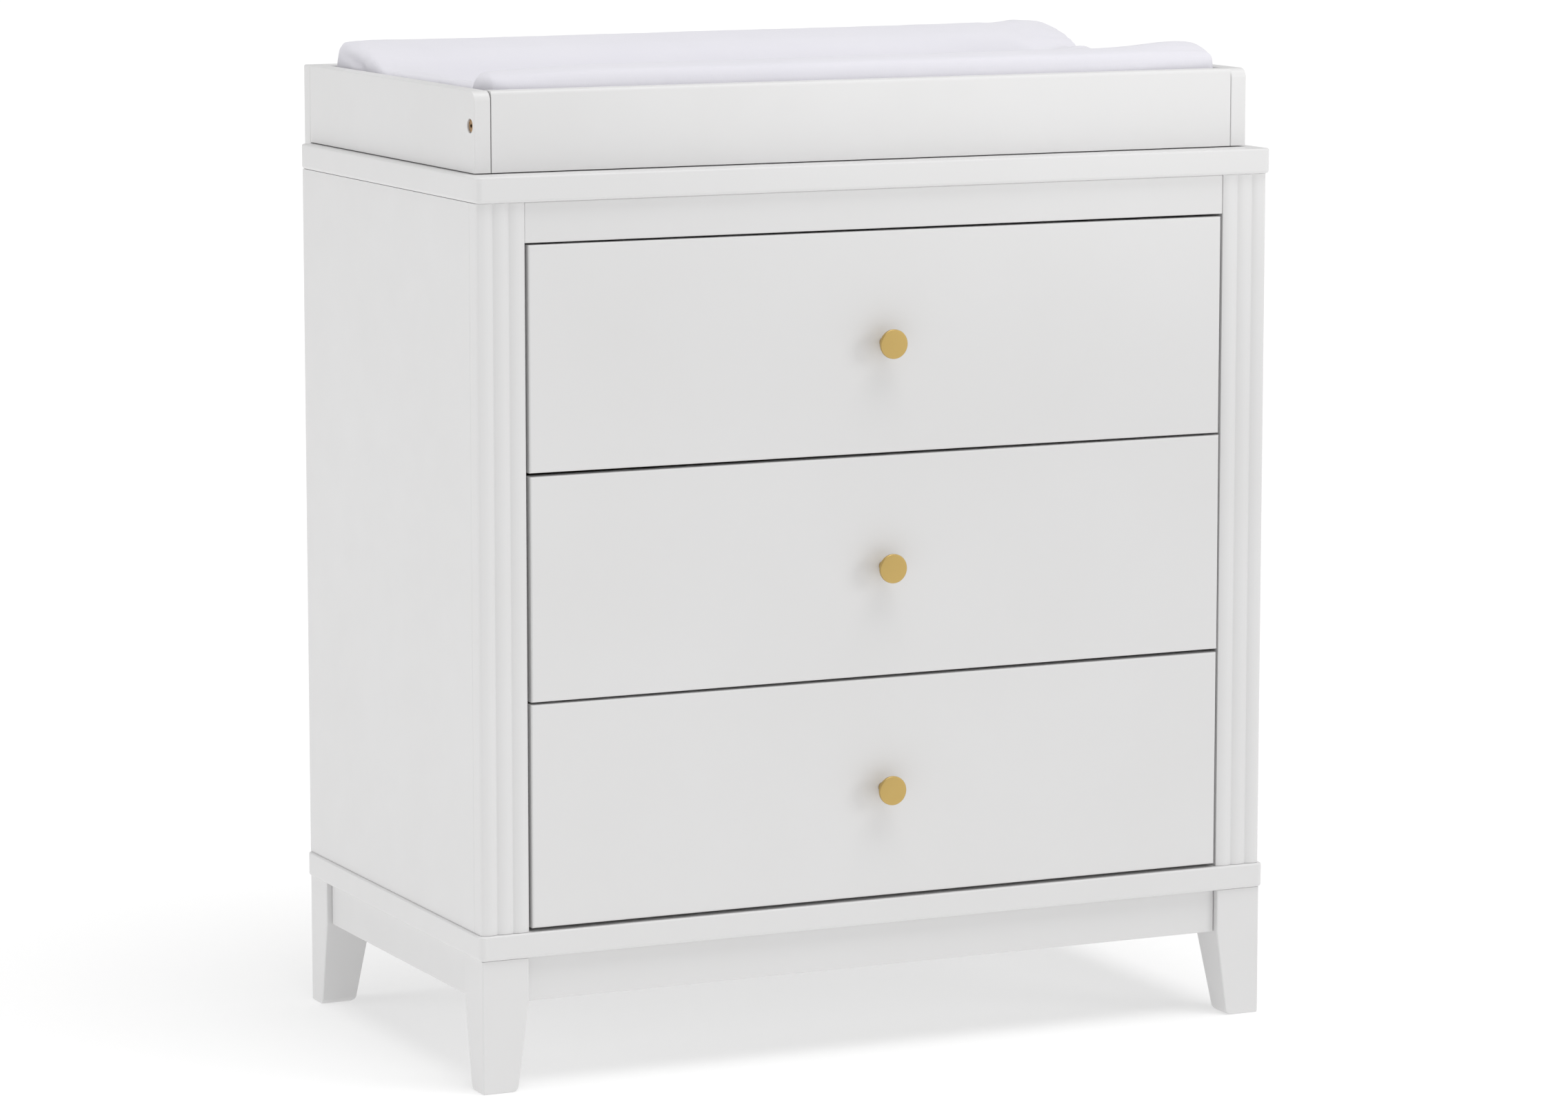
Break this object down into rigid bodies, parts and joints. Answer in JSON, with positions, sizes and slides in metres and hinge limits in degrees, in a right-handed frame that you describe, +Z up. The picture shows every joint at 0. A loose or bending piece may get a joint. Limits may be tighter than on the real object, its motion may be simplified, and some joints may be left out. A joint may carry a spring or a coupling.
{
  "type": "changing table",
  "caption": "White changing table: cabinet of inset drawers with round knobs on tapered legs, reeded front posts, a board-sided changing tray and a contoured pad.",
  "frame": {"origin": "on the floor, under the middle of the whole table", "axes": "+X to the viewer's right facing the drawers, +Y to the back, +Z up"},
  "size_m": [0.907, 0.536, 1.044],
  "materials": {
    "white_lacquer": "satin white lacquer over wood and board",
    "carcass_board": "matt white foil on hidden carcass board",
    "drawer_wood": "clear satin on pale birch",
    "drawer_floor": "matt white hardboard",
    "brushed_gold": "fine brushed gold",
    "bolt_brass": "antique brass plating",
    "zinc_steel": "bright zinc plating",
    "pad_cover": "soft brushed cotton cover, white with a faint lavender cast"
  },
  "bodies": {
    "cabinet": {"bottom_panel": "white_lacquer", "top_panel": "white_lacquer", "side_panel_left": "white_lacquer", "side_panel_right": "white_lacquer", "front_post_left": "white_lacquer", "front_post_right": "white_lacquer", "front_rail": "white_lacquer", "rear_rail": "carcass_board", "back_panel": "carcass_board", "leg_front_left": "white_lacquer", "leg_front_right": "white_lacquer", "leg_rear_left": "white_lacquer", "leg_rear_right": "white_lacquer", "apron_front": "white_lacquer", "apron_rear": "white_lacquer", "apron_left": "white_lacquer", "apron_right": "white_lacquer", "tray_front_board": "white_lacquer", "tray_rear_board": "white_lacquer", "tray_left_board": "white_lacquer", "tray_right_board": "white_lacquer", "tray_bolt_left": "bolt_brass", "tray_bolt_right": "bolt_brass", "changing_pad": "pad_cover", "slide_bottom_left_outer": "zinc_steel", "slide_bottom_right_outer": "zinc_steel", "slide_middle_left_outer": "zinc_steel", "slide_middle_right_outer": "zinc_steel", "slide_top_left_outer": "zinc_steel", "slide_top_right_outer": "zinc_steel"},
    "drawer_bottom": {"drawer_bottom_front": "white_lacquer", "drawer_bottom_side_left": "drawer_wood", "drawer_bottom_side_right": "drawer_wood", "drawer_bottom_back": "drawer_wood", "drawer_bottom_floor": "drawer_floor", "drawer_bottom_knob": "brushed_gold", "slide_bottom_left_inner": "zinc_steel", "slide_bottom_right_inner": "zinc_steel"},
    "slides_bottom": {"slide_bottom_left_middle": "zinc_steel", "slide_bottom_right_middle": "zinc_steel"},
    "drawer_middle": {"drawer_middle_front": "white_lacquer", "drawer_middle_side_left": "drawer_wood", "drawer_middle_side_right": "drawer_wood", "drawer_middle_back": "drawer_wood", "drawer_middle_floor": "drawer_floor", "drawer_middle_knob": "brushed_gold", "slide_middle_left_inner": "zinc_steel", "slide_middle_right_inner": "zinc_steel"},
    "slides_middle": {"slide_middle_left_middle": "zinc_steel", "slide_middle_right_middle": "zinc_steel"},
    "drawer_top": {"drawer_top_front": "white_lacquer", "drawer_top_side_left": "drawer_wood", "drawer_top_side_right": "drawer_wood", "drawer_top_back": "drawer_wood", "drawer_top_floor": "drawer_floor", "drawer_top_knob": "brushed_gold", "slide_top_left_inner": "zinc_steel", "slide_top_right_inner": "zinc_steel"},
    "slides_top": {"slide_top_left_middle": "zinc_steel", "slide_top_right_middle": "zinc_steel"}
  },
  "joints": [
    {"name": "drawer_bottom_slide", "type": "slide", "parent": "cabinet", "child": "drawer_bottom", "axis": [0, -1, 0], "range_m": [0, 0.36]},
    {"name": "slides_bottom_travel", "type": "slide", "parent": "cabinet", "child": "slides_bottom", "axis": [0, -1, 0], "range_m": [0, 0.18]},
    {"name": "drawer_middle_slide", "type": "slide", "parent": "cabinet", "child": "drawer_middle", "axis": [0, -1, 0], "range_m": [0, 0.36]},
    {"name": "slides_middle_travel", "type": "slide", "parent": "cabinet", "child": "slides_middle", "axis": [0, -1, 0], "range_m": [0, 0.18]},
    {"name": "drawer_top_slide", "type": "slide", "parent": "cabinet", "child": "drawer_top", "axis": [0, -1, 0], "range_m": [0, 0.36]},
    {"name": "slides_top_travel", "type": "slide", "parent": "cabinet", "child": "slides_top", "axis": [0, -1, 0], "range_m": [0, 0.18]}
  ],
  "couplings": [
    {"joint": "slides_bottom_travel", "follows": "drawer_bottom_slide", "ratio": 0.5},
    {"joint": "slides_middle_travel", "follows": "drawer_middle_slide", "ratio": 0.5},
    {"joint": "slides_top_travel", "follows": "drawer_top_slide", "ratio": 0.5}
  ]
}
